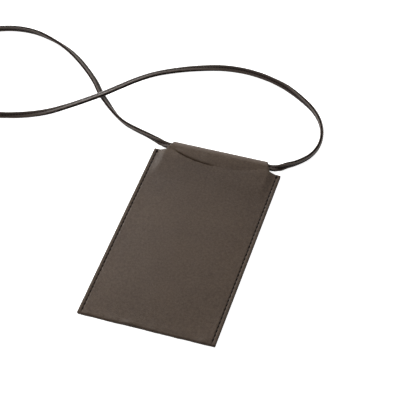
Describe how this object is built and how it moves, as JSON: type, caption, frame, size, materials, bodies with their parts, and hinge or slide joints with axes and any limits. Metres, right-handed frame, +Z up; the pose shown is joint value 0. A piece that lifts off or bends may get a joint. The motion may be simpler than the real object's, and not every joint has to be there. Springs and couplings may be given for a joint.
{
  "type": "neck pouch wallet",
  "caption": "Flat leather neck pouch, sewn along both sides, with a scooped mouth, a strap tunnel across its top and a flat stitched neck strap looped through it.",
  "frame": {"origin": "on the surface that the pouch lies on, under the middle of the pouch with its tunnel, the neck strap left out", "axes": "+Y along the pouch from its foot to the strap tunnel, +X to the right as seen from the front with the tunnel at the top, +Z up out of the front"},
  "size_m": [0.3628, 0.3056, 0.009],
  "materials": {
    "body_leather": "fine-grained satin",
    "strap_leather": "smooth satin, painted edges",
    "thread": "twisted waxed thread"
  },
  "bodies": {
    "pouch": {"back_panel": "body_leather", "bottom_fold": "body_leather", "front_panel": "body_leather", "tunnel_fold": "body_leather", "tunnel_lap": "body_leather", "left_seam_thread": "thread", "right_seam_thread": "thread", "tunnel_seam_thread": "thread"},
    "strap": {"strap_in_tunnel": "strap_leather", "strap_right_run": "strap_leather", "strap_left_run": "strap_leather", "strap_coil": "strap_leather"}
  },
  "joints": [
    {"name": "strap_slide", "type": "slide", "parent": "pouch", "child": "strap", "axis": [1, 0, 0], "range_m": [-0.003, 0.003]}
  ]
}
